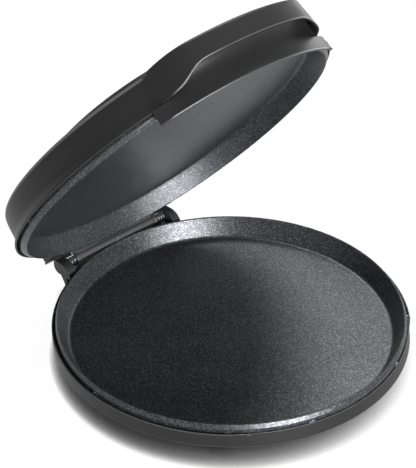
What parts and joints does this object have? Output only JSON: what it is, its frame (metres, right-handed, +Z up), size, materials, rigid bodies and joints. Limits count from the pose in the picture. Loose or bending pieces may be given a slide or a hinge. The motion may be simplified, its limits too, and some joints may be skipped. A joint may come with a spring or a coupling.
{
  "type": "electric pizza maker",
  "caption": "Round electric pizza maker: shallow base with a non-stick plate and a hinged, domed lid with a moulded front handle, shown open.",
  "frame": {"origin": "on the ground plane, at the middle of the whole part's length and width with the lid at rest", "axes": "+Z up; the handle and the front of the base face -Y, the hinge is at the back, +Y; +X is to the right seen from the front"},
  "size_m": [0.3438, 0.3682, 0.3494],
  "materials": {
    "charcoal_plastic": "matte moulded",
    "black_plastic": "satin moulded",
    "nonstick_plate": "cast, with a speckled dark non-stick coating",
    "black_enamel": "gloss",
    "bright_steel": "bright plated",
    "steel": "zinc plated",
    "element_sheath": "oxidised sheath",
    "aluminised_sheet": "mill finish",
    "cream_ceramic": "glazed",
    "sleeved_lead": "woven glass sleeve",
    "foot_rubber": "moulded"
  },
  "bodies": {
    "base": {"base_housing": "charcoal_plastic", "base_plate": "nonstick_plate", "base_plate_clips": "steel", "base_heating_element": "element_sheath", "base_element_clamps": "steel", "base_reflector": "aluminised_sheet", "base_plate_screws": "steel", "feet": "foot_rubber", "cord_gland": "black_plastic", "terminal_block": "cream_ceramic", "base_thermostat": "cream_ceramic", "base_leads": "sleeved_lead", "hinge_bracket_left": "black_plastic", "hinge_bracket_right": "black_plastic", "hinge_bracket_screws": "steel", "hinge_pin": "bright_steel", "hinge_spring_left": "bright_steel", "hinge_spring_right": "bright_steel", "hinge_washers": "bright_steel", "hinge_centre_ring": "bright_steel"},
    "lid": {"lid_shell": "charcoal_plastic", "handle_grip": "charcoal_plastic", "handle_grip_screws": "steel", "lid_plate": "nonstick_plate", "lid_plate_clips": "steel", "lid_heating_element": "element_sheath", "lid_element_clamps": "steel", "lid_reflector": "aluminised_sheet", "lid_reflector_screws": "steel", "hinge_barrel_left": "black_enamel", "hinge_barrel_right": "black_enamel", "hinge_barrel_screws": "steel", "lid_thermostat": "cream_ceramic", "lid_leads": "sleeved_lead"}
  },
  "joints": [
    {"name": "lid_hinge", "type": "hinge", "parent": "base", "child": "lid", "pos_m": [0, 0.15528, 0.0408], "axis": [-1, 0, 0], "range_deg": [-52.6, 47.4]}
  ]
}
